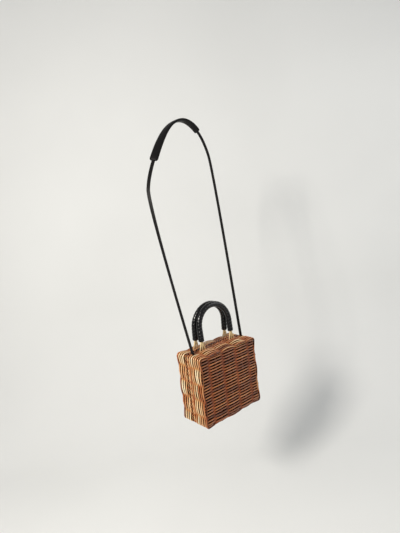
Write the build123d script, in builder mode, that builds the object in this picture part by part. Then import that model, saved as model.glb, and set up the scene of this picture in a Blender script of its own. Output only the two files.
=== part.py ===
"""Basket box bag: two woven trays hinged at the bottom seam, two wound arch handles
and a flat leather shoulder strap with a pad. Millimetres, +Z up, front towards -Y.
The origin is on the underside of the pad, where a shoulder or a peg carries the bag."""
import math
import os

from build123d import *

os.makedirs("parts", exist_ok=True)

# Bag: a front and a back tray that meet at a seam
bag_width = 172.0
bag_height = 156.0
front_depth = 46.0
back_depth = 34.0
corner_radius = 8.0
seam_gap = 0.6

# Weave: floats of the weavers stand out as ridges, staggered from column to column
float_pitch = 6.4
ridge_height = 2.2
weave_core = 2.7
width_band_shares = (0.15, 0.383, 0.617, 0.85)
height_band_shares = (0.16, 0.387, 0.613, 0.84)
panel_clearance = 0.2

# Rim: an eight-sided rod border on each tray
rim_apothem = 2.9
rim_inset = 3.4

# Hinge: cane rings round both rims under the bag
ring_offset = 45.0
ring_width = 4.0
ring_thickness = 1.2
ring_clearance = 0.3

# Handles: a cane bundle bent to an arch, wound with leather, with fanned feet
handle_offset = 11.6
handle_half_width = 45.0
handle_leg = 28.0
handle_foot = 21.0
handle_lean_deg = 3.4
arch_bends = 16
core_size = 5.6
wrap_radius = 5.6
foot_rod_radius = 1.6
foot_fan_deg = 24.0
foot_sink = 3.0

# Strap: a flat leather strap that leans back from the bag to the shoulder
strap_width = 8.0
strap_thickness = 2.4
strap_lean_deg = 12.0
strap_drop = 533.0
strap_inset = 12.0
strap_exit_y = -12.5
shoulder_offset = 52.0
slot_clearance = 1.2

# Stops: a leather block sewn on each strap end inside the bag
stop_width = 12.0
stop_depth = 6.0
stop_height = 4.0

# Pad: a padded sleeve on the strap
pad_width = 20.0
pad_thickness = 7.0
pad_corner = 2.4
pad_start_share = 0.3
pad_end_share = 0.46

# Shared by all cuts
overrun = 2.0

# Worked out from the sizes above
wall_thickness = weave_core + ridge_height
rim_offset = seam_gap / 2 + rim_apothem
rim_edge = seam_gap / 2 + 2 * rim_apothem
octagon_share = 2 - math.sqrt(2)
octagon_corner = 1 / math.cos(math.pi / 8)
ring_inner = rim_apothem * octagon_corner + ring_clearance
ring_outer = ring_inner + ring_thickness
strap_exit_x = bag_width / 2 - strap_inset
stop_reach = max(strap_exit_x + stop_depth / 2 - (bag_width / 2 - corner_radius), 0)
stop_seat = corner_radius - math.sqrt((corner_radius - wall_thickness) ** 2 - stop_reach**2)
strap_lean = math.radians(strap_lean_deg)
bag_x = -shoulder_offset
bag_y = -strap_drop * math.sin(strap_lean) - strap_exit_y
bag_z = -strap_drop * math.cos(strap_lean) - bag_height
strap_plane = Plane((0, 0, 0), x_dir=(1, 0, 0), z_dir=(0, -math.cos(strap_lean), math.sin(strap_lean)))
trays = {"front": (-1, front_depth), "back": (1, back_depth)}


def bag_point(x, y, z):
    """A point given from the middle of the bag's base, at the seam."""
    return (bag_x + x, bag_y + y, bag_z + z)


def outward_plane(side, distance):
    """A plane parallel to the panels that faces away from the seam, centred on the bag."""
    centre = bag_point(0, side * distance, bag_height / 2)
    return Plane(centre, x_dir=(-side, 0, 0), z_dir=(0, side, 0))


def column_edges(length, shares, start, end):
    """The ends of a weave's columns along one side, measured from the side's middle."""
    inner = [(share - 0.5) * length for share in shares]
    return [start] + inner + [end]


def ridged_face(plane, length, staggered):
    """Section of a weave column: flat inside, one ridge for each float outside.
    On the plane, x runs across the floats and y points out of the bag."""
    count = max(2, round(length / float_pitch))
    quarter = length / count / 4
    heights = (wall_thickness, weave_core) if staggered else (weave_core, wall_thickness)
    edge_height = weave_core + ridge_height / 2
    points = [(quarter * (2 * step + 1), heights[step % 2]) for step in range(2 * count)]
    with BuildSketch(plane) as section:
        with BuildLine():
            Polyline((0, 0), (0, edge_height), *points, (length, edge_height), (length, 0), close=True)
        make_face()
    return section.sketch


def panel_solid(side, depth):
    """A woven panel that fits inside its wall."""
    width = bag_width - 2 * wall_thickness - 2 * panel_clearance
    height = bag_height - 2 * wall_thickness - 2 * panel_clearance
    radius = corner_radius - wall_thickness - panel_clearance
    edges = column_edges(bag_width, width_band_shares, -width / 2, width / 2)
    inner_face = outward_plane(side, depth - wall_thickness)
    with BuildPart() as panel:
        for index, start in enumerate(edges[:-1]):
            corner = inner_face.from_local_coords((start, -height / 2, 0))
            section = Plane(corner, x_dir=(0, 0, 1), z_dir=inner_face.x_dir)
            extrude(ridged_face(section, height, index % 2 == 1), amount=edges[index + 1] - start)
        with BuildSketch(inner_face):
            RectangleRounded(width, height, radius)
        extrude(amount=wall_thickness, mode=Mode.INTERSECT)
    return panel.part


def wall_solid(side, depth):
    """A woven wall round a tray, from its rim to its outer edge, with plain rounded corners."""
    rows = depth - rim_edge
    straight_x = bag_width - 2 * corner_radius
    straight_z = bag_height - 2 * corner_radius
    stack = Vector(0, side, 0)
    centre = Vector(*bag_point(0, side * rim_edge, bag_height / 2))
    runs = [
        (Vector(0, 0, 1), bag_height / 2, bag_width, straight_x, width_band_shares),
        (Vector(0, 0, -1), bag_height / 2, bag_width, straight_x, width_band_shares),
        (Vector(1, 0, 0), bag_width / 2, bag_height, straight_z, height_band_shares),
        (Vector(-1, 0, 0), bag_width / 2, bag_height, straight_z, height_band_shares),
    ]
    with BuildPart() as wall:
        for outward, reach, length, straight, shares in runs:
            run = stack.cross(outward)
            inner = centre + outward * (reach - wall_thickness)
            edges = column_edges(length, shares, -straight / 2, straight / 2)
            for index, start in enumerate(edges[:-1]):
                section = Plane(inner + run * start, x_dir=stack, z_dir=run)
                extrude(ridged_face(section, rows, index % 2 == 1), amount=edges[index + 1] - start)
        with BuildSketch(outward_plane(side, rim_edge)):
            RectangleRounded(bag_width, bag_height, corner_radius)
            offset(amount=-wall_thickness, kind=Kind.ARC, mode=Mode.SUBTRACT)
            Rectangle(straight_x, bag_height, mode=Mode.SUBTRACT)
            Rectangle(bag_width, straight_z, mode=Mode.SUBTRACT)
        extrude(amount=rows)
        notch = rim_offset + ring_outer * octagon_corner + ring_clearance - rim_edge
        with BuildSketch(outward_plane(side, rim_edge)):
            with Locations((-ring_offset, -bag_height / 2), (ring_offset, -bag_height / 2)):
                Rectangle(ring_width + 2 * ring_clearance, 2 * (wall_thickness + overrun))
        extrude(amount=notch, mode=Mode.SUBTRACT)
        if side < 0:
            exit_centre = bag_point(0, strap_exit_y, bag_height)
            with BuildSketch(Plane(exit_centre, x_dir=(1, 0, 0), z_dir=strap_plane.y_dir)):
                with Locations((-strap_exit_x, 0), (strap_exit_x, 0)):
                    Rectangle(strap_thickness + 2 * slot_clearance, strap_width + 2 * slot_clearance)
            extrude(amount=wall_thickness + overrun, both=True, mode=Mode.SUBTRACT)
    return wall.part


def rim_solid(side):
    """The rod border of a tray, an eight-sided rod bent round the wall's edge."""
    outer_inset = rim_inset - rim_apothem
    inner_inset = rim_inset + rim_apothem
    bevel = rim_apothem * octagon_share
    with BuildPart() as rim:
        with BuildSketch(outward_plane(side, rim_offset)):
            RectangleRounded(bag_width - 2 * outer_inset, bag_height - 2 * outer_inset, corner_radius - outer_inset)
            RectangleRounded(bag_width - 2 * inner_inset, bag_height - 2 * inner_inset, corner_radius - inner_inset,
                             mode=Mode.SUBTRACT)
        extrude(amount=rim_apothem, both=True)
        chamfer(rim.faces().filter_by(Axis.Y).edges(), length=bevel)
    return rim.part


def arch_plane(side):
    """The plane of a handle, which leans over the bag until it nearly touches the other handle."""
    lean = math.radians(handle_lean_deg)
    foot = bag_point(0, side * handle_offset, bag_height)
    return Plane(foot, x_dir=(1, 0, 0), z_dir=(0, -math.cos(lean), -side * math.sin(lean)))


def arch_line(side):
    """A handle's line: up one leg, round the arch in short straight bends and down the other leg."""
    springing = handle_foot + handle_leg
    bends = [math.pi * step / arch_bends for step in range(arch_bends + 1)]
    arch = [(-handle_half_width * math.cos(turn), springing + handle_half_width * math.sin(turn)) for turn in bends]
    legs = [(-handle_half_width, handle_foot), (handle_half_width, handle_foot)]
    with BuildLine(arch_plane(side)) as line:
        Polyline(legs[0], *arch, legs[1])
    return line.wire()


def core_solid(side):
    """The cane bundle of a handle, whose rods fan out below into the top wall."""
    path = arch_line(side)
    plane = arch_plane(side)
    fan_reach = (handle_foot + foot_sink) / math.cos(math.radians(foot_fan_deg))
    with BuildPart() as core:
        with BuildSketch(Plane(path @ 0, x_dir=(1, 0, 0), z_dir=path % 0)):
            Rectangle(core_size, core_size)
        sweep(path=path, transition=Transition.RIGHT)
        for foot_x in (-handle_half_width, handle_half_width):
            top = plane.from_local_coords((foot_x, handle_foot, 0))
            for fan in (-foot_fan_deg, 0, foot_fan_deg):
                turn = math.radians(fan)
                reach = fan_reach if fan else handle_foot + foot_sink
                rod_way = plane.x_dir * math.sin(turn) - plane.y_dir * math.cos(turn)
                with BuildSketch(Plane(top, x_dir=plane.z_dir, z_dir=rod_way)):
                    RegularPolygon(foot_rod_radius, side_count=6)
                extrude(amount=reach)
    return core.part


def wrap_solid(side):
    """The leather winding of a handle, a sleeve on its cane bundle."""
    path = arch_line(side)
    with BuildPart() as wrap:
        with BuildSketch(Plane(path @ 0, x_dir=(1, 0, 0), z_dir=path % 0)):
            RegularPolygon(wrap_radius, side_count=8)
            Rectangle(core_size, core_size, mode=Mode.SUBTRACT)
        sweep(path=path, transition=Transition.RIGHT)
    return wrap.part


for tray, (side, depth) in trays.items():
    panel = panel_solid(side, depth)
    panel.label = f"{tray}_panel"
    export_step(panel, f"parts/{tray}_panel.step")
    wall = wall_solid(side, depth)
    wall.label = f"{tray}_wall"
    export_step(wall, f"parts/{tray}_wall.step")
    rim = rim_solid(side)
    rim.label = f"{tray}_rim"
    export_step(rim, f"parts/{tray}_rim.step")
    core = core_solid(side)
    core.label = f"{tray}_handle_core"
    export_step(core, f"parts/{tray}_handle_core.step")
    wrap = wrap_solid(side)
    wrap.label = f"{tray}_handle_wrap"
    export_step(wrap, f"parts/{tray}_handle_wrap.step")

# Hinge rings: two cane loops round both rims at the bottom
with BuildPart() as hinge_rings:
    for ring_x in (-ring_offset, ring_offset):
        ring_plane = Plane(bag_point(ring_x, 0, rim_inset), x_dir=(0, 1, 0), z_dir=(1, 0, 0))
        for radius, mode in ((ring_outer, Mode.ADD), (ring_inner, Mode.SUBTRACT)):
            with BuildSketch(ring_plane) as loop:
                Rectangle(2 * (rim_offset + radius), 2 * radius)
                chamfer(loop.vertices(), length=radius * octagon_share)
            extrude(amount=ring_width / 2, both=True, mode=mode)
hinge_rings.part.label = "hinge_rings"
export_step(hinge_rings.part, "parts/hinge_rings.step")

# Strap route on its leaning plane, from one end inside the bag over the shoulder to the other
strap_tail = (stop_seat + stop_height / 2) / math.cos(strap_lean)
strap_route = [
    (-shoulder_offset - strap_exit_x, -strap_drop - strap_tail),
    (-144.0, -195.0),
    (-124.0, -128.0),
    (-50.0, -18.0),
    (5.0, 15.0),
    (44.0, 3.0),
    (68.0, -40.0),
    (74.0, -115.0),
    (-shoulder_offset + strap_exit_x, -strap_drop - strap_tail),
]
run_share = 0.45
route = [Vector(*point) for point in strap_route]
strap_radii = []
for before, corner, after in zip(route, route[1:], route[2:]):
    turn = math.radians((corner - before).get_angle(after - corner))
    shorter = min((corner - before).length, (after - corner).length)
    strap_radii.append(run_share * shorter / math.tan(turn / 2))
print("strap radii", [round(radius) for radius in strap_radii])

with BuildLine(strap_plane) as strap_line:
    FilletPolyline(*strap_route, radius=strap_radii)
strap_path = strap_line.wire()
with BuildPart() as strap:
    with BuildSketch(Plane(strap_path @ 0, x_dir=strap_plane.z_dir, z_dir=strap_path % 0)):
        Rectangle(strap_width, strap_thickness)
    sweep(path=strap_path)
print("strap length", round(strap_path.length), "volume", strap.part.volume, "section times length",
      strap_width * strap_thickness * strap_path.length)
strap.part.label = "strap"
export_step(strap.part, "parts/strap.step")

# Shoulder pad: a sleeve on the strap's top bend
pad_start = route[2] + (route[3] - route[2]) * pad_start_share
pad_end = route[5] + (route[6] - route[5]) * pad_end_share
pad_points = [pad_start, *route[3:6], pad_end]
with BuildLine(strap_plane) as pad_line:
    FilletPolyline(*[(point.X, point.Y) for point in pad_points], radius=strap_radii[2:5])
pad_path = pad_line.wire()
with BuildPart() as shoulder_pad:
    with BuildSketch(Plane(pad_path @ 0, x_dir=strap_plane.z_dir, z_dir=pad_path % 0)) as pad_face:
        Rectangle(pad_width, pad_thickness)
        chamfer(pad_face.vertices().group_by(Axis.Y)[0], length=pad_corner)
        Rectangle(strap_width, strap_thickness, mode=Mode.SUBTRACT)
    sweep(path=pad_path)
shoulder_pad.part.label = "shoulder_pad"
export_step(shoulder_pad.part, "parts/shoulder_pad.step")

# Stops: blocks under the top wall on both strap ends
with BuildPart() as strap_stops:
    stop_y = strap_exit_y - (stop_seat + stop_height / 2) * math.tan(strap_lean)
    with BuildSketch(Plane(bag_point(0, stop_y, bag_height - stop_seat))):
        with Locations((-strap_exit_x, 0), (strap_exit_x, 0)):
            Rectangle(stop_depth, stop_width)
    extrude(amount=-stop_height)
strap_stops.part.label = "strap_stops"
export_step(strap_stops.part, "parts/strap_stops.step")
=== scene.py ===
"""Basket box bag: woven willow trays, wound handles and a leather shoulder strap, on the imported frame.
Metres, +Z up, front towards -Y. New pieces are profiles carried along paths, worked out as numpy arrays."""

import bpy
import numpy as np
from mathutils import Matrix, Vector


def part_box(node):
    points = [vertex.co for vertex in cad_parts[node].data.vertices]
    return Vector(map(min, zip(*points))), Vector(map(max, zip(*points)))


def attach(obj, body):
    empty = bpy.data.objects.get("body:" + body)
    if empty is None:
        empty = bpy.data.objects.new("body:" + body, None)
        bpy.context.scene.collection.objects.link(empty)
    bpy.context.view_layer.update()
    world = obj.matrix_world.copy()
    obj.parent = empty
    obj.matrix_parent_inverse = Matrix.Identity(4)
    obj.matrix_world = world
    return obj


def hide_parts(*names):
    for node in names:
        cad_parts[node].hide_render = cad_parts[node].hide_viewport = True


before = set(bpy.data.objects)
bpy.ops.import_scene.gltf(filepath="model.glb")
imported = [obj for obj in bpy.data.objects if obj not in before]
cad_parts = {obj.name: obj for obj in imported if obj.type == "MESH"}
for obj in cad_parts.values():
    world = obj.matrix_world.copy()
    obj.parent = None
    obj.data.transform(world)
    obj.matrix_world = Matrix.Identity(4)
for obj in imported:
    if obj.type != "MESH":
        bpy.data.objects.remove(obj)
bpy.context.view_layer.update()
scene = bpy.context.scene
rng = np.random.default_rng(11)
MM = 0.001

# Places taken from the frame: each tray's side of the seam, depth and start of its wall
front_low, front_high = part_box("front_wall")
back_low, back_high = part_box("back_wall")
rim_low, rim_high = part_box("front_rim")
BAG = np.array([(front_low.x + front_high.x) / 2, (front_high.y + back_low.y) / 2, front_low.z])
BAG_WIDTH = front_high.x - front_low.x
BAG_HEIGHT = front_high.z - front_low.z
TRAYS = {
    "front": (-1, BAG[1] - front_low.y, BAG[1] - front_high.y),
    "back": (1, back_high.y - BAG[1], back_low.y - BAG[1]),
}
UP = np.array([0, 0, 1.0])

# Weave: willow rods that swing over and under, with bands where they cross from one face to the other
CORNER_RADIUS = 8 * MM
ROD_RADIUS = 1.5 * MM
ROD_RADIUS_SHARES = (0.94, 1.1)
ROD_SIDES = 8
WEAVE_SWING = 1.5 * MM
SWING_SHARES = (0.85, 1.1)
INNER_SPREAD_SHARE = 1.0
BAND_SHARPNESS = 1.9
FLANK_SHARPNESS = 2.5
WIDTH_BANDS = np.array([-0.35, -0.117, 0.117, 0.35]) * BAG_WIDTH
HEIGHT_BANDS = np.array([-0.34, -0.113, 0.113, 0.34]) * BAG_HEIGHT
ROD_DRIFT = 0.22 * MM
DRIFT_RATES = (50, 130)
SECOND_DRIFT_SHARE = 0.6

# Tones from 0 dark to 1 pale, some lowered as painted shade, and recess from 0 on a float to 1 behind one,
# which darkens a rod as painted shade
TONE_RANGE = (0.25, 0.65)
TONE_DRIFT = 0.1
TONE_RATE = 40
ROUND_TONE_GAIN = 1.5
# Painted shade taken off the rounds' tone on the top and bottom runs
ROUND_TOP_PAINTED_SHADE = 0.19
# Painted shade on the outermost round, mostly taken off on the top, where light falls on it
EDGE_ROUND_PAINTED_SHADE = 0.45
EDGE_TOP_SHARE = 0.8
RIM_TONES = np.array([[0.45], [0.7]])
# Painted shade on the rims' top and bottom runs
RIM_TOP_PAINTED_SHADE = 0.3
# Painted shade on the rims: a little all over, full on the flank facing the seam
RIM_RECESS = 0.25
STICK_TONE = 0.2
STAKE_TONE = 0.3
# Painted shade: sticks and stakes lie behind the floats and are darkened by their recess
STAKE_RECESS = 0.6

# Panels: straight rows on upright sticks
PANEL_ROWS = 46
PANEL_STEPS = 141
PANEL_OVERLAP = 2.4 * MM
CORNER_CUT_SHARE = 0.8
END_TURN_RUN = 6 * MM
END_TURN_DEPTH = 2 * MM
EDGE_ROW_DEPTH = 0.8 * MM
STICK_PLACES = np.array([-80, -40, 0, 40, 80]) * MM
STICK_HALF_SIZE = (0.9 * MM, 2.8 * MM)
STICK_MARGIN = 3 * MM
STICK_STEPS = 30

# Walls: closed rounds on short stakes
WALL_ROWS = {"front": 12, "back": 8}
ROUND_STEPS = 460
ROUND_RADIUS_SHARE = 1.05
DRIFT_WAVES = 5
BULGE_WAVES = 9
BULGE = 0.5 * MM
ROUND_PHASES = (0, 6)
PINCH = 1.0 * MM
CROWN = 4 * MM
STAKE_HALF_SIZE = (0.9 * MM, 2.2 * MM)
STAKE_OVERLAP = 2 * MM
STAKE_MARGIN = 0.6 * MM
STAKE_STEPS = 12

# Rims: two strands twisted into a rope
STRAND_SHARE = 0.56
RIM_TWIST = 15 * MM
RIM_STEPS = 420
RIM_SIDES = 10

# Handles: a wound arch on each tray, with canes fanned out of both ends
HANDLE_OFFSET = 11.6 * MM
HANDLE_LEAN = np.radians(3.4)
HANDLE_HALF_WIDTH = 45 * MM
HANDLE_LEG = 28 * MM
HANDLE_FOOT = 21 * MM
WRAP_RADIUS = 6.7 * MM
WRAP_PRESSED_SHARE = 0.12
WRAP_END_SHARE = 0.86
WRAP_END_RUN = 2.5 * MM
WRAP_STEPS = 520
WRAP_SIDES = 24
STRIP_PITCH = 7.5 * MM
STRIP_RISE = 0.6 * MM
STRIP_FLATNESS = 5
STRIP_LAP_SHARE = 0.3
CANE_RADIUS = 1.7 * MM
CANE_TOP_SHARE = 1.15
CANE_TAPER_SHARE = 0.25
CANE_TUCK = 4 * MM
CANE_SINK = 3 * MM
CANE_STEPS = 24
CANE_SIDES = 10
FOOT_SPREAD = 8.4 * MM
FOOT_BUNDLE_SHARE = 0.12
FOOT_FLARE = 1.4

# Strap: its route on the leaning plane, and the twist that turns it outwards before the shoulder
STRAP_LEAN = np.radians(12)
STRAP_ROUTE = np.array([
    (-0.126, -0.54005), (-0.144, -0.195), (-0.124, -0.128), (-0.050, -0.018), (0.005, 0.015),
    (0.044, 0.003), (0.068, -0.040), (0.074, -0.115), (0.022, -0.54005),
])
STRAP_WIDTH = 8 * MM
STRAP_THICKNESS = 2.4 * MM
STRAP_SQUARENESS = 6
STRAP_SIDES = 20
STRAP_RESOLUTION = 40
STRAP_TWIST = np.radians(48)
TWIST_AT = 440 * MM
TWIST_REACH = 130 * MM

# Pad: a sleeve on the strap's top bend, drawn in at its tips
PAD_WIDTH = 20 * MM
PAD_THICKNESS = 7 * MM
PAD_START_SHARE = 0.3
PAD_END_SHARE = 0.46
PAD_SQUARENESS = 2.6
PAD_SIDES = 40
TIP_WIDTH_SHARE = 0.78
TIP_WIDTH_RUN = 6 * MM
TIP_SWELL_SHARE = 0.5
TIP_SWELL_RUN = 22 * MM

# Finishes: pattern sizes, with fibres and pebbles drawn coarser than real ones so that they show
FIBRE_LENGTH = 14 * MM
FIBRE_WIDTH = 0.7 * MM
FIBRE_RELIEF = 0.15 * MM
PATCH_LENGTH = 30 * MM
PATCH_WIDTH = 9 * MM
STREAK_LENGTH = 12 * MM
STREAK_WIDTH = 0.8 * MM
STREAK_RELIEF = 0.1 * MM
WEAR_SIZE = 22 * MM
PEBBLE_RELIEF = 0.12 * MM
HANDLE_PEBBLE = 1.1 * MM
STRAP_PEBBLE = 0.9 * MM
CLOUD_SIZE = 454.545 * MM

# Backdrop: a floor, a sweep and a wall, square to the view
VIEW_AWAY = np.array([0.64, 0.768, 0])
VIEW_RIGHT = np.array([0.768, -0.64, 0])
FLOOR_DROP = 0.32
FLOOR_NEAR = 2.5
SWEEP_RADIUS = 0.45
SWEEP_STEPS = 16
WALL_DISTANCE = 0.75
WALL_TOP = 2.2
BACKDROP_HALF_WIDTH = 3.0

# Lamps: place from the bag's middle, size, power in watts and colour
LAMPS = {
    "key": ((-1.3, -0.35, 0.9), 0.3, 27, "#FFFAF2"),
    "fill": ((1.05, -1.15, 0.8), 0.8, 7, "#FFFEFC"),
}
WORLD_COLOUR = "#F2F4F6"
WORLD_STRENGTH = 0.38

# Camera: place from the middle of the bag's base at the seam, and the image's focal length in pixels
CAMERA_FROM_BAG = np.array([-0.5583, -0.6521, 0.4336])
CAMERA_FORWARD = Vector((0.636, 0.764, -0.111))
CAMERA_UP = Vector((0.161, 0.010, 0.987))
FOCAL_PIXELS = 385
IMAGE_HEIGHT = 533
SENSOR_HEIGHT = 36


def linear(hex_colour):
    """An sRGB hex colour as the linear colour that shaders take."""
    srgb = np.array([int(hex_colour[i:i + 2], 16) for i in (1, 3, 5)]) / 255
    value = np.where(srgb <= 0.04045, srgb / 12.92, ((srgb + 0.055) / 1.055) ** 2.4)
    return (*value.tolist(), 1.0)


def add(tree, kind, inputs=None, stops=(), **settings):
    """Adds a shader node with its settings, its ramp's stops, and its inputs set or linked."""
    made = tree.nodes.new("ShaderNode" + kind)
    for name, value in settings.items():
        setattr(made, name, value)
    for index, (place, colour) in enumerate(stops):
        ramp = made.color_ramp.elements
        stop = ramp[index] if index < len(ramp) else ramp.new(place)
        stop.position, stop.color = place, linear(colour)
    for name, value in (inputs or {}).items():
        if isinstance(value, bpy.types.NodeSocket):
            tree.links.new(value, made.inputs[name])
        else:
            made.inputs[name].default_value = value
    return made


def new_finish(name):
    """A new material, with its node tree and its main shader."""
    material = bpy.data.materials.new(name)
    material.use_nodes = True
    return material, material.node_tree, material.node_tree.nodes["Principled BSDF"]


def willow(name, shades, painted_shade_colours):
    """Peeled willow rods, stained and varnished: fine fibres along the rod, each rod its own brown,
    painted shade in the hollows of the weave and on the rods' flanks, and a satin varnish whose shine
    is turned down in the hollows, also painted shade."""
    material, tree, surface = new_finish(name)
    grain = add(tree, "UVMap", uv_map="grain").outputs["UV"]
    fibre_place = add(tree, "Mapping", {"Vector": grain, "Scale": (1 / FIBRE_LENGTH, 1 / FIBRE_WIDTH, 1)})
    fibre = add(tree, "TexNoise", {"Vector": fibre_place.outputs[0], "Scale": 1.0, "Detail": 4.0,
                                   "Roughness": 0.6}).outputs["Fac"]
    patch_place = add(tree, "Mapping", {"Vector": grain, "Scale": (1 / PATCH_LENGTH, 1 / PATCH_WIDTH, 1)})
    patch = add(tree, "TexNoise", {"Vector": patch_place.outputs[0], "Scale": 1.0, "Detail": 2.0})
    tone = add(tree, "Attribute", attribute_name="tone").outputs["Fac"]
    recess = add(tree, "Attribute", attribute_name="recess").outputs["Fac"]
    lighter = add(tree, "Math", {0: fibre, 1: 0.5, 2: tone}, operation="MULTIPLY_ADD")
    mottled = add(tree, "Math", {0: patch.outputs["Fac"], 1: 0.5, 2: lighter.outputs[0]},
                  operation="MULTIPLY_ADD")
    level = add(tree, "Math", {0: mottled.outputs[0], 1: 0.5}, operation="SUBTRACT")
    wood = add(tree, "ValToRGB", {"Fac": level.outputs[0]}, stops=tuple(zip((0.0, 0.35, 0.7, 1.0), shades)))
    # Painted shade from the recess: white on a float, golden brown on bands and flanks, near black behind a
    # float
    painted_shade = add(tree, "ValToRGB", {"Fac": recess}, stops=tuple(zip((0.0, 0.5, 0.86), painted_shade_colours)))
    colour = add(tree, "Mix", {0: 1.0, 6: wood.outputs["Color"], 7: painted_shade.outputs["Color"]},
                 data_type="RGBA", blend_type="MULTIPLY")
    gloss = add(tree, "MapRange", {"Value": fibre, "To Min": 0.28, "To Max": 0.5})
    # Painted shade on the gloss: less specular and coat where the rods lie deep
    varnish_and_painted_shade = add(tree, "MapRange", {"Value": recess, "To Min": 0.5, "To Max": 0.02})
    bump = add(tree, "Bump", {"Height": fibre, "Strength": 0.5, "Distance": FIBRE_RELIEF})
    tree.links.new(colour.outputs[2], surface.inputs["Base Color"])
    tree.links.new(gloss.outputs["Result"], surface.inputs["Roughness"])
    tree.links.new(bump.outputs["Normal"], surface.inputs["Normal"])
    tree.links.new(varnish_and_painted_shade.outputs["Result"], surface.inputs["Specular IOR Level"])
    tree.links.new(varnish_and_painted_shade.outputs["Result"], surface.inputs["Coat Weight"])
    surface.inputs["Coat Roughness"].default_value = 0.18
    return material


def leather(name, shades, roughness, shine, pebble):
    """Finished black cowhide: a pebbled grain of small cells, slightly browner where it is worn,
    and a waxed gloss."""
    material, tree, surface = new_finish(name)
    place = add(tree, "TexCoord").outputs["Object"]
    cells = add(tree, "TexVoronoi", {"Vector": place, "Scale": 1 / pebble}, feature="SMOOTH_F1")
    wear = add(tree, "TexNoise", {"Vector": place, "Scale": 1 / WEAR_SIZE, "Detail": 5.0,
                                  "Roughness": 0.65}).outputs["Fac"]
    colour = add(tree, "ValToRGB", {"Fac": wear}, stops=tuple(zip((0.3, 0.75), shades)))
    gloss = add(tree, "MapRange", {"Value": wear, "To Min": roughness - 0.08, "To Max": roughness + 0.1})
    bump = add(tree, "Bump", {"Height": cells.outputs["Distance"], "Strength": 0.35,
                              "Distance": PEBBLE_RELIEF})
    tree.links.new(colour.outputs["Color"], surface.inputs["Base Color"])
    tree.links.new(gloss.outputs["Result"], surface.inputs["Roughness"])
    tree.links.new(bump.outputs["Normal"], surface.inputs["Normal"])
    surface.inputs["Specular IOR Level"].default_value = shine
    return material


def cane(name, shades):
    """Split cane with its bark left on: pale straw, streaked along its length, browner towards its lower
    end as painted shade where it goes into the weave, with a hard natural shine."""
    material, tree, surface = new_finish(name)
    place = add(tree, "TexCoord").outputs["Object"]
    streak_scale = (1 / STREAK_WIDTH, 1 / STREAK_WIDTH, 1 / STREAK_LENGTH)
    streak_place = add(tree, "Mapping", {"Vector": place, "Scale": streak_scale})
    streak = add(tree, "TexNoise", {"Vector": streak_place.outputs[0], "Scale": 1.0,
                                    "Detail": 3.0}).outputs["Fac"]
    bark = add(tree, "ValToRGB", {"Fac": streak}, stops=tuple(zip((0.25, 0.5, 0.8), shades)))
    # Painted shade: the recess browns the cane towards its lower end
    recess = add(tree, "Attribute", attribute_name="recess").outputs["Fac"]
    painted_shade = add(tree, "ValToRGB", {"Fac": recess}, stops=((0.0, "#FFFFFF"), (1.0, "#8A5A34")))
    colour = add(tree, "Mix", {0: 1.0, 6: bark.outputs["Color"], 7: painted_shade.outputs["Color"]},
                 data_type="RGBA", blend_type="MULTIPLY")
    gloss = add(tree, "MapRange", {"Value": streak, "To Min": 0.3, "To Max": 0.5})
    bump = add(tree, "Bump", {"Height": streak, "Strength": 0.4, "Distance": STREAK_RELIEF})
    tree.links.new(colour.outputs[2], surface.inputs["Base Color"])
    tree.links.new(gloss.outputs["Result"], surface.inputs["Roughness"])
    tree.links.new(bump.outputs["Normal"], surface.inputs["Normal"])
    return material


def board_paint(name):
    """Matt paint on board: an even pale grey, barely clouded."""
    material, tree, surface = new_finish(name)
    place = add(tree, "TexCoord").outputs["Object"]
    cloud = add(tree, "TexNoise", {"Vector": place, "Scale": 1 / CLOUD_SIZE, "Detail": 2.0})
    paint = add(tree, "ValToRGB", {"Fac": cloud.outputs["Fac"]}, stops=((0.3, "#E0E1E0"), (0.7, "#E4E5E4")))
    tree.links.new(paint.outputs["Color"], surface.inputs["Base Color"])
    surface.inputs["Roughness"].default_value = 0.85
    return material


# The panels' willow: a darker copy of the walls' willow, as painted shade
painted_shade_panel_willow = willow("stained_willow_painted_shade_panels", ("#46200A", "#7C4418", "#AA6C38", "#E6C29A"),
                      ("#FFFFFF", "#E8B468", "#040100"))
# The walls' willow: a paler copy of the panels' willow, as painted light
painted_light_wall_willow = willow("stained_willow_painted_light_walls", ("#7C441A", "#BE7238", "#E0BA88", "#FAECC8"),
                     ("#FFFFFF", "#BC9464", "#080402"))
pale_cane = cane("pale_cane", ("#A98250", "#E2CA94", "#F6EAC8"))
handle_leather = leather("wound_black_leather", ("#040405", "#0A090B"), 0.18, 0.44, HANDLE_PEBBLE)
strap_leather = leather("black_strap_leather", ("#080708", "#121010"), 0.5, 0.16, STRAP_PEBBLE)


def unit(vectors):
    """Vectors divided by their lengths."""
    return vectors / np.maximum(np.linalg.norm(vectors, axis=-1, keepdims=True), 1e-12)


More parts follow.
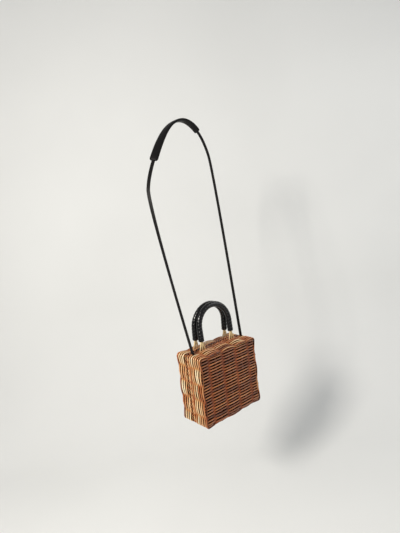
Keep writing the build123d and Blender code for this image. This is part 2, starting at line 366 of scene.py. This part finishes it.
def carry(name, path, normal, section, material, closed=False, **values):
    """A profile carried along paths: point + across * normal + beside * (tangent x normal).
    path is (rods, steps, 3), and normal and section (rods, steps, sides, 2) broadcast to it. Each extra value
    is kept for every vertex as an attribute. The grain UV is length along the path by length round the
    profile. Open paths get flat caps."""
    rods, steps = path.shape[:2]
    sides = section.shape[-2]
    if closed:
        tangent = np.roll(path, -1, axis=1) - np.roll(path, 1, axis=1)
    else:
        tangent = np.gradient(path, axis=1)
    tangent = unit(tangent)
    normal = np.broadcast_to(normal, path.shape)
    normal = unit(normal - (normal * tangent).sum(-1, keepdims=True) * tangent)
    beside = np.cross(tangent, normal)
    section = np.broadcast_to(section, (rods, steps, sides, 2))
    points = path[:, :, None] + section[..., :1] * normal[:, :, None] + section[..., 1:] * beside[:, :, None]

    spans = steps if closed else steps - 1
    rod, step, side = np.meshgrid(np.arange(rods), np.arange(spans), np.arange(sides), indexing="ij")
    steps_of = np.stack([step, step, step + 1, step + 1], -1)
    sides_of = np.stack([side, side + 1, side + 1, side], -1)
    quads = ((rod[..., None] * steps + steps_of % steps) * sides + sides_of % sides).reshape(-1, 4)
    gone = np.linalg.norm(np.diff(path, axis=1, append=path[:, :1]), axis=-1)
    along = np.concatenate([np.zeros((rods, 1)), np.cumsum(gone, axis=1)], axis=1)
    ring = section[0, steps // 2]
    edge = np.linalg.norm(np.roll(ring, -1, axis=0) - ring, axis=-1)
    around = np.concatenate([[0.0], np.cumsum(edge)])
    grain = np.stack([along[rod[..., None], steps_of], around[sides_of]], -1).reshape(-1, 2)
    faces = quads.tolist()
    if not closed:
        first = np.arange(rods)[:, None] * steps * sides
        faces += (first + np.arange(sides)[::-1]).tolist()
        faces += (first + (steps - 1) * sides + np.arange(sides)).tolist()
        grain = np.concatenate([grain, np.zeros((2 * rods * sides, 2))])

    mesh = bpy.data.meshes.new(name)
    mesh.from_pydata(points.reshape(-1, 3).tolist(), [], faces)
    mesh.uv_layers.new(name="grain").data.foreach_set("uv", grain.astype(np.float32).ravel())
    for label, value in values.items():
        value = np.asarray(value)
        kept = np.broadcast_to(value if value.ndim == 3 else value[..., None], (rods, steps, sides))
        attribute = mesh.attributes.new(label, "FLOAT", "POINT")
        attribute.data.foreach_set("value", kept.astype(np.float32).ravel())
    mesh.polygons.foreach_set("use_smooth", np.arange(len(faces)) < len(quads))
    mesh.materials.append(material)
    piece = bpy.data.objects.new(name, mesh)
    scene.collection.objects.link(piece)
    return piece


def join(name, pieces):
    """Several pieces of one material as one object, its first one."""
    with bpy.context.temp_override(active_object=pieces[0], selected_editable_objects=pieces):
        bpy.ops.object.join()
    pieces[0].name = name
    return pieces[0]


def stand_for(piece, node, body):
    """Lets a piece take a CAD node's place: it rides on the node's body, and the node is hidden."""
    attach(piece, body)
    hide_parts(node)


def dress(node, material):
    """Gives a CAD node that stays in view its material."""
    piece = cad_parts[node]
    piece.data.materials.clear()
    piece.data.materials.append(material)


def angles(sides):
    """Even angles round a section."""
    return np.linspace(0, 2 * np.pi, sides, endpoint=False)


def round_section(radius, sides):
    """A circle's points as (across, beside); radius may be any array, and gets two more axes."""
    turn = angles(sides)
    return np.asarray(radius)[..., None, None] * np.stack([np.cos(turn), np.sin(turn)], -1)


def box_section(half_across, half_beside, power, sides):
    """A superellipse's points: signed powers of cosine and sine, from an oval to a rounded box."""
    turn = angles(sides)
    wave = np.stack([np.cos(turn), np.sin(turn)], -1)
    return np.sign(wave) * np.abs(wave) ** (2 / power) * np.array([half_across, half_beside])


def rounded(distance, run):
    """A quarter circle's rise, from 0 at an end to 1 where the run is over."""
    return np.sqrt(1 - (1 - np.clip(distance / run, 0, 1)) ** 2)


def weave_swing(phase, rows):
    """How far a weaver stands out at each place: a cosine that turns over from column to column,
    flattened by tanh so that a float lies level between its bands. Neighbouring rows are opposite."""
    wave = -np.cos(np.pi * (phase + rows))
    return np.tanh(BAND_SHARPNESS * wave) / np.tanh(BAND_SHARPNESS)


def weave_recess(swing):
    """How deep a rod lies in the weave: 0 on a float, 1 behind one."""
    return np.clip(0.5 - 0.5 * swing, 0, 1)


def rod_section(radius, swing, spreads=1):
    """A rod's round section, spread beside its path where the rod lies behind the weave, if it spreads."""
    spread = 1 + spreads * INNER_SPREAD_SHARE * weave_recess(swing)
    shape = np.stack([np.ones_like(spread), spread], -1)[:, :, None]
    return round_section(radius * np.ones_like(swing), ROD_SIDES) * shape


def rod_recess(swing):
    """A rod's recess at each of its sides, which sets its painted shade: that of the weave outside, the
    opposite inside, and half way on its flanks."""
    facing = np.tanh(FLANK_SHARPNESS * np.cos(angles(ROD_SIDES)))
    return weave_recess(swing[..., None] * facing)


def rod_tones(rows, along):
    """Each rod's own brown, with a slow sine along it."""
    start = rng.uniform(0, 2 * np.pi, (rows, 1))
    return rng.uniform(*TONE_RANGE, (rows, 1)) + TONE_DRIFT * np.sin(along * TONE_RATE + start)


def wander(rows, along):
    """A slow drift of each row along its length, two sines of seeded phase."""
    start = rng.uniform(0, 2 * np.pi, (2, rows, 1))
    slow, quick = DRIFT_RATES
    second = SECOND_DRIFT_SHARE * np.sin(along * quick + start[1])
    return ROD_DRIFT * (np.sin(along * slow + start[0]) + second)


def panel_weave(tray):
    """A panel: straight weavers over and under upright sticks. A weaver's place is (x, depth + swing,
    height), its ends turn into the tray, and rows near the rounded corners are shorter. Behind the sticks
    a weaver is pressed flat, so that the rows close. The edge rows lie deeper, under the wall's outer
    round."""
    side, depth, _ = TRAYS[tray]
    panel_low, panel_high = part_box(f"{tray}_panel")
    pitch = (panel_high.z - panel_low.z) / PANEL_ROWS
    rows = np.arange(-1, PANEL_ROWS + 1)[:, None]
    edge_row = (rows < 0) | (rows == PANEL_ROWS)
    height = panel_low.z - BAG[2] + (rows + 0.5) * pitch
    round_off = np.clip(CORNER_RADIUS - np.minimum(height, BAG_HEIGHT - height), 0, CORNER_RADIUS)
    corner_cut = CORNER_RADIUS - np.sqrt(CORNER_RADIUS**2 - round_off**2)
    reach = (panel_high.x - panel_low.x) / 2 + PANEL_OVERLAP - corner_cut * CORNER_CUT_SHARE
    x = np.linspace(-1, 1, PANEL_STEPS)[None] * reach
    places = np.sort(np.concatenate([STICK_PLACES, WIDTH_BANDS]))
    phase = np.interp(x, places, np.arange(places.size) / 2)
    swing = weave_swing(phase, rows) * rng.uniform(*SWING_SHARES, rows.shape)
    end_turn = np.clip((np.abs(x) - reach + END_TURN_RUN) / END_TURN_RUN, 0, 1) ** 2
    deep = ROD_RADIUS + WEAVE_SWING * (1 - swing) + END_TURN_DEPTH * end_turn + EDGE_ROW_DEPTH * edge_row
    path = BAG + np.stack([x, side * (depth - deep), height + wander(rows.size, x)], -1)
    radius = ROD_RADIUS * rng.uniform(*ROD_RADIUS_SHARES, rows.shape)
    outward = np.array([0, side, 0.0])
    weavers = carry(f"{tray}_weavers", path, outward, rod_section(radius, swing), painted_shade_panel_willow,
                    tone=rod_tones(rows.size, x), recess=rod_recess(swing))

    rise = np.linspace(panel_low.z, panel_high.z, STICK_STEPS)[None] - BAG[2]
    stick_reach = reach.max() - STICK_MARGIN
    stick_x = np.clip(STICK_PLACES, -stick_reach, stick_reach)[:, None]
    stick_path = BAG + np.stack(np.broadcast_arrays(
        stick_x, side * (depth - ROD_RADIUS - WEAVE_SWING), rise), -1)
    # Painted shade: the sticks lie behind the floats, darkened by their recess
    sticks = carry(f"{tray}_sticks", stick_path, outward, box_section(*STICK_HALF_SIZE, 2, ROD_SIDES),
                   painted_shade_panel_willow, tone=STICK_TONE, recess=STAKE_RECESS)
    piece = join(f"{tray}_panel_weave", [weavers, sticks])
    stand_for(piece, f"{tray}_panel", f"{tray}_half")


def round_run(inset, steps):
    """A rounded rectangle inside the bag's outline, walked at even steps from the middle of the top to the
    right: straights and quarter circles joined by distance. Gives (x, z), the outward normal as (x, z) and in
    space, and the distance."""
    radius = CORNER_RADIUS - inset
    half_x = BAG_WIDTH / 2 - CORNER_RADIUS
    half_z = BAG_HEIGHT / 2 - CORNER_RADIUS
    quarter = np.pi / 2 * radius
    runs = [0, half_x, quarter, 2 * half_z, quarter, 2 * half_x, quarter, 2 * half_z, quarter, half_x]
    knots = np.cumsum(runs)
    distance = np.linspace(0, knots[-1], steps, endpoint=False)
    centre_x = np.interp(distance, knots, np.array([0, 1, 1, 1, 1, -1, -1, -1, -1, 0]) * half_x)
    centre_z = np.interp(distance, knots, np.array([1, 1, 1, -1, -1, -1, -1, 1, 1, 1]) * half_z)
    turn = np.interp(distance, knots, np.array([0, 0, 1, 1, 2, 2, 3, 3, 4, 4]) * np.pi / 2)
    normal = np.stack([np.sin(turn), np.cos(turn)], -1)
    outward = np.stack([np.sin(turn), np.zeros(steps), np.cos(turn)], -1)
    place = np.stack([centre_x, centre_z], -1) + radius * normal
    return place, normal, outward, distance


def crown(x, normal):
    """How far the top stands up at the seam: full over the middle, falling to nothing at the ends
    by a fourth power."""
    return CROWN * np.clip(normal[:, 1], 0, 1) ** 2 * (1 - (2 * x / BAG_WIDTH) ** 4)


def wall_weave(tray):
    """A tray's wall: closed rounds of willow over and under short stakes, one more column at each corner.
    A round's place is its rounded rectangle + normal * (swing + bulge - pinch), where the bulge is a slow
    sine and the pinch draws the wall in at its bands. The top's rounds rise towards the seam."""
    side, depth, start = TRAYS[tray]
    count = WALL_ROWS[tray]
    rows = np.arange(count)[:, None]
    outermost = rows == count - 1
    place, normal, outward, distance = round_run(ROD_RADIUS + WEAVE_SWING, ROUND_STEPS)
    top = np.isclose(normal[:, 1], 1)
    bottom = np.isclose(normal[:, 1], -1)
    right = np.isclose(normal[:, 0], 1)
    left = np.isclose(normal[:, 0], -1)
    bands = np.sort(np.concatenate([
        [distance[on][np.argmin(np.abs(place[on, axis] - band))] for band in band_set]
        for on, axis, band_set in ((top, 0, WIDTH_BANDS), (bottom, 0, WIDTH_BANDS),
                                   (right, 1, HEIGHT_BANDS), (left, 1, HEIGHT_BANDS))
    ]))
    length = distance[-1] + distance[1]
    lap = 2 * np.pi * distance / length
    marks = np.concatenate([[bands[-1] - length], bands, [bands[0] + length]])
    phase = np.interp(distance, marks, np.arange(marks.size) - 0.5)[None]
    swing = weave_swing(phase, rows) * rng.uniform(*SWING_SHARES, (count, 1))
    pitch = (depth - start) / count
    drift = ROD_DRIFT * np.sin(lap * DRIFT_WAVES + rng.uniform(*ROUND_PHASES, (count, 1)))
    bulge = BULGE * np.sin(lap * BULGE_WAVES + rng.uniform(*ROUND_PHASES, (count, 1)))
    pinch = PINCH * np.sin(np.pi * phase) ** 2
    ring = place[None] + normal[None] * (WEAVE_SWING * swing + bulge - pinch)[..., None]
    rise = BAG_HEIGHT / 2 + crown(place[:, 0], normal) * (1 - (rows + 0.5) / count)
    path = BAG + np.stack(np.broadcast_arrays(
        ring[..., 0], side * (start + (rows + 0.5) * pitch + drift), ring[..., 1] + rise), -1)
    radius = ROUND_RADIUS_SHARE * ROD_RADIUS * rng.uniform(*ROD_RADIUS_SHARES, (count, 1))
    # Painted shade: the outermost round darker, much less so on the top, where light falls on it
    edge_painted_shade = EDGE_ROUND_PAINTED_SHADE * outermost * (1 - EDGE_TOP_SHARE * np.clip(normal[:, 1], 0, 1))
    # Painted shade: the top and bottom runs darker than the ends
    top_painted_shade = ROUND_TOP_PAINTED_SHADE * normal[:, 1] ** 2
    tone = ROUND_TONE_GAIN * rod_tones(count, distance[None]) - top_painted_shade - edge_painted_shade
    section = rod_section(radius, swing, spreads=~outermost)
    weavers = carry(f"{tray}_rounds", path, outward[None], section, painted_light_wall_willow, closed=True,
                    tone=tone, recess=rod_recess(swing))

    stakes_at = np.searchsorted(distance, (marks[:-1] + marks[1:]) / 2 % length) % len(distance)
    run = np.linspace(start - STAKE_OVERLAP, depth - STAKE_MARGIN, STAKE_STEPS)
    stake_path = BAG + np.stack(np.broadcast_arrays(
        place[stakes_at, 0, None], side * run, place[stakes_at, 1, None] + BAG_HEIGHT / 2), -1)
    # Painted shade: the stakes lie behind the floats, darkened by their recess
    stakes = carry(f"{tray}_stakes", stake_path, outward[stakes_at][:, None],
                   box_section(*STAKE_HALF_SIZE, 2, ROD_SIDES), painted_light_wall_willow,
                   tone=STAKE_TONE, recess=STAKE_RECESS)
    piece = join(f"{tray}_wall_weave", [weavers, stakes])
    stand_for(piece, f"{tray}_wall", f"{tray}_half")


def rim_rope(tray):
    """A tray's border: two rods twisted round each other, each a helix about the rim's line, with painted
    shade a little all over and most on the flank that faces the seam."""
    side = TRAYS[tray][0]
    rim_radius = (rim_high.y - rim_low.y) / 2
    inset = rim_low.z - BAG[2] + rim_radius
    seam = BAG[1] - (rim_low.y + rim_high.y) / 2
    strand = STRAND_SHARE * rim_radius
    place, normal, outward, distance = round_run(inset, RIM_STEPS)
    length = distance[-1] + distance[1]
    turns = np.round(length / RIM_TWIST)
    turn = 2 * np.pi * (turns * distance / length)[None] + np.array([[0], [np.pi]])
    lift = (rim_radius - strand) * np.cos(turn)
    aside = (rim_radius - strand) * np.sin(turn)
    ring = place[None] + normal[None] * lift[..., None]
    rise = BAG_HEIGHT / 2 + crown(place[:, 0], normal)
    path = BAG + np.stack([ring[..., 0], side * seam + aside, ring[..., 1] + rise], -1)
    # Painted shade in the seam between the trays: the flank facing it is darkest
    facing_seam = np.clip(side * np.sin(angles(RIM_SIDES)), 0, 1)
    recess = RIM_RECESS + (1 - RIM_RECESS) * facing_seam
    section = round_section(strand * np.ones((2, RIM_STEPS)), RIM_SIDES)
    # Painted shade: the rim's top and bottom runs darker, and its recess darkest on the flank facing the seam
    piece = carry(f"{tray}_rim_rope", path, outward[None], section, painted_light_wall_willow, closed=True,
                  tone=RIM_TONES - RIM_TOP_PAINTED_SHADE * normal[:, 1] ** 2, recess=recess[None, None])
    stand_for(piece, f"{tray}_rim", f"{tray}_half")


def handle_point(side, x, height):
    """A place on a handle's plane, which stands on the top wall and leans over the bag."""
    aside = side * (HANDLE_OFFSET - height * np.sin(HANDLE_LEAN))
    return BAG + np.stack(np.broadcast_arrays(x, aside, BAG_HEIGHT + height * np.cos(HANDLE_LEAN)), -1)


def handle_winding(tray):
    """A leather strip wound on a cane bundle, up a leg, round a half circle and down again. The winding's
    radius swells over each turn of the strip, which climbs one pitch a turn, and it is pressed flatter over
    the arch, where it meets the other handle."""
    side = TRAYS[tray][0]
    half_round = np.pi * HANDLE_HALF_WIDTH
    distance = np.linspace(0, 2 * HANDLE_LEG + half_round, WRAP_STEPS)
    from_end = np.minimum(distance, distance[-1] - distance)
    turn = np.interp(distance, [HANDLE_LEG, HANDLE_LEG + half_round], [0, np.pi])
    height = HANDLE_FOOT + np.minimum(from_end, HANDLE_LEG) + HANDLE_HALF_WIDTH * np.sin(turn)
    path = handle_point(side, -HANDLE_HALF_WIDTH * np.cos(turn), height)
    outward = np.stack([-np.cos(turn), -side * np.sin(HANDLE_LEAN) * np.sin(turn), np.sin(turn)], -1)
    around = np.linspace(0, 1, WRAP_SIDES, endpoint=False)[None]
    across = (distance[:, None] / STRIP_PITCH - around) % 1
    lap = 1 - STRIP_LAP_SHARE + STRIP_LAP_SHARE * across
    swell = (1 - np.abs(2 * across - 1) ** STRIP_FLATNESS) * lap
    end = WRAP_END_SHARE + (1 - WRAP_END_SHARE) * rounded(from_end, WRAP_END_RUN)[:, None]
    radius = (WRAP_RADIUS - STRIP_RISE * (1 - swell)) * end
    pressed = 1 - WRAP_PRESSED_SHARE * np.sin(turn)[:, None]
    section = radius[..., None] * np.stack([
        np.cos(2 * np.pi * around) * np.ones_like(pressed), np.sin(2 * np.pi * around) * pressed], -1)
    winding = carry(f"{tray}_handle_winding", path[None], outward[None], section[None], handle_leather)
    stand_for(winding, f"{tray}_handle_wrap", f"{tray}_half")


def handle_canes(tray):
    """Three canes that fan out of each end of a handle into the top wall: their spread grows by a power of
    the way down, and they taper."""
    side = TRAYS[tray][0]
    fall = np.linspace(0, 1, CANE_STEPS)[None]
    spread = np.tile([-1, 0, 1], 2)[:, None] * FOOT_SPREAD
    leg_x = np.repeat([-1, 1], 3)[:, None] * HANDLE_HALF_WIDTH
    height = HANDLE_FOOT + CANE_TUCK - (HANDLE_FOOT + CANE_TUCK + CANE_SINK) * fall
    path = handle_point(side, leg_x + FOOT_BUNDLE_SHARE * spread + spread * fall**FOOT_FLARE, height)
    radius = CANE_RADIUS * (CANE_TOP_SHARE - CANE_TAPER_SHARE * fall) * np.ones((len(leg_x), 1))
    # Painted shade: the recess grows towards the canes' lower ends, where they go into the weave
    canes = carry(f"{tray}_handle_canes", path, np.array([0, -1.0, 0]), round_section(radius, CANE_SIDES),
                  pale_cane, recess=fall**2)
    stand_for(canes, f"{tray}_handle_core", f"{tray}_half")


def on_strap_plane(route):
    """Points of the strap's route in space, on the plane that leans back from the bag."""
    across, up = route.T
    return np.stack([across, up * np.sin(STRAP_LEAN), up * np.cos(STRAP_LEAN)], -1)


def strap_line():
    """The strap's line as Blender draws it: a NURBS curve with the route's points as its control points."""
    curve = bpy.data.curves.new("strap_route", "CURVE")
    curve.dimensions = "3D"
    spline = curve.splines.new("NURBS")
    spline.points.add(len(STRAP_ROUTE) - 1)
    control = np.concatenate([on_strap_plane(STRAP_ROUTE), np.ones((len(STRAP_ROUTE), 1))], axis=1)
    spline.points.foreach_set("co", control.ravel())
    spline.order_u = 3
    spline.use_endpoint_u = True
    spline.resolution_u = STRAP_RESOLUTION
    carrier = bpy.data.objects.new("strap_route", curve)
    drawn = bpy.data.meshes.new_from_object(carrier)
    points = np.empty(3 * len(drawn.vertices))
    drawn.vertices.foreach_get("co", points)
    bpy.data.objects.remove(carrier)
    bpy.data.meshes.remove(drawn)
    bpy.data.curves.remove(curve)
    return points.reshape(-1, 3)


def strap_and_pad():
    """The strap: a flat rounded strip along its line, turned outwards before the shoulder by a bell curve of
    the distance. The pad: a crowned sleeve on the top of that line, a rounded box drawn in at both tips."""
    line = strap_line()
    gone = np.concatenate([[0], np.cumsum(np.linalg.norm(np.diff(line, axis=0), axis=-1))])
    twist = STRAP_TWIST * np.exp(-((gone - TWIST_AT) / TWIST_REACH) ** 2)[:, None]
    level = np.array([0, -np.cos(STRAP_LEAN), np.sin(STRAP_LEAN)])
    width_way = np.cos(twist) * level + np.sin(twist) * np.cross(unit(np.gradient(line, axis=0)), level)
    strip = box_section(STRAP_WIDTH / 2, STRAP_THICKNESS / 2, STRAP_SQUARENESS, STRAP_SIDES)
    strap = carry("strap_strip", line[None], width_way[None], strip[None, None], strap_leather)
    stand_for(strap, "strap", "front_half")

    ends = on_strap_plane(np.array([
        STRAP_ROUTE[2] + (STRAP_ROUTE[3] - STRAP_ROUTE[2]) * PAD_START_SHARE,
        STRAP_ROUTE[5] + (STRAP_ROUTE[6] - STRAP_ROUTE[5]) * PAD_END_SHARE,
    ]))
    first, last = np.argmin(np.linalg.norm(line[None] - ends[:, None], axis=-1), axis=1)
    on_pad = slice(first, last + 1)
    from_tip = np.minimum(gone[on_pad] - gone[first], gone[last] - gone[on_pad])
    width = TIP_WIDTH_SHARE + (1 - TIP_WIDTH_SHARE) * rounded(from_tip, TIP_WIDTH_RUN)
    swell = TIP_SWELL_SHARE + (1 - TIP_SWELL_SHARE) * rounded(from_tip, TIP_SWELL_RUN)
    unit_box = box_section(1.0, 1.0, PAD_SQUARENESS, PAD_SIDES)
    section = unit_box * np.stack([width * PAD_WIDTH / 2, swell * PAD_THICKNESS / 2], -1)[:, None]
    pad = carry("shoulder_pad_sleeve", line[None, on_pad], width_way[None, on_pad], section[None],
                strap_leather)
    stand_for(pad, "shoulder_pad", "front_half")


def backdrop():
    """A pale sweep behind and under the bag: a flat floor, a quarter circle and an upright wall."""
    turn = np.linspace(0, np.pi / 2, SWEEP_STEPS)
    bend_start = WALL_DISTANCE - SWEEP_RADIUS
    along = np.concatenate([[-FLOOR_NEAR], bend_start + SWEEP_RADIUS * np.sin(turn), [WALL_DISTANCE]])
    rise = np.concatenate([[0], SWEEP_RADIUS - SWEEP_RADIUS * np.cos(turn), [WALL_TOP]])
    across = np.array([-BACKDROP_HALF_WIDTH, BACKDROP_HALF_WIDTH])
    profile = BAG - FLOOR_DROP * UP + along[:, None] * VIEW_AWAY + rise[:, None] * UP
    points = profile[None] + across[:, None, None] * VIEW_RIGHT
    count = along.size
    step = np.arange(count - 1)
    faces = np.stack([step, count + step, count + step + 1, step + 1], -1)
    mesh = bpy.data.meshes.new("backdrop")
    mesh.from_pydata(points.reshape(-1, 3).tolist(), [], faces.tolist())
    mesh.polygons.foreach_set("use_smooth", np.ones(len(faces), bool))
    mesh.materials.append(board_paint("painted_board"))
    sweep = bpy.data.objects.new("backdrop", mesh)
    scene.collection.objects.link(sweep)


def light():
    """Soft studio light: a key lamp from the left, a weak fill from the right, and an even world."""
    world = bpy.data.worlds.new("studio")
    scene.world = world
    world.use_nodes = True
    background = world.node_tree.nodes["Background"]
    background.inputs["Color"].default_value = linear(WORLD_COLOUR)
    background.inputs["Strength"].default_value = WORLD_STRENGTH
    bag_middle = BAG + UP * BAG_HEIGHT / 2
    for name, (from_bag, size, power, colour) in LAMPS.items():
        lamp = bpy.data.lights.new(name, "AREA")
        lamp.energy = power
        lamp.size = size
        lamp.color = linear(colour)[:3]
        holder = bpy.data.objects.new(name, lamp)
        holder.location = bag_middle + np.array(from_bag)
        holder.rotation_euler = (-Vector(from_bag)).to_track_quat("-Z", "Y").to_euler()
        scene.collection.objects.link(holder)


def camera():
    """A camera at the photograph's place, turned as the photograph was."""
    lens = bpy.data.cameras.new("camera")
    lens.sensor_fit = "VERTICAL"
    lens.sensor_height = SENSOR_HEIGHT
    lens.lens = FOCAL_PIXELS / IMAGE_HEIGHT * SENSOR_HEIGHT
    holder = bpy.data.objects.new("camera", lens)
    forward = CAMERA_FORWARD.normalized()
    right = forward.cross(CAMERA_UP).normalized()
    up = right.cross(forward)
    turned = Matrix((right, up, -forward)).transposed().to_4x4()
    holder.matrix_world = Matrix.Translation(BAG + CAMERA_FROM_BAG) @ turned
    scene.collection.objects.link(holder)
    scene.camera = holder


for tray in TRAYS:
    panel_weave(tray)
    wall_weave(tray)
    rim_rope(tray)
    handle_winding(tray)
    handle_canes(tray)
strap_and_pad()
dress("hinge_rings", pale_cane)
dress("strap_stops", strap_leather)
backdrop()
light()
camera()
scene.view_settings.view_transform = "Standard"

bpy.context.view_layer.update()
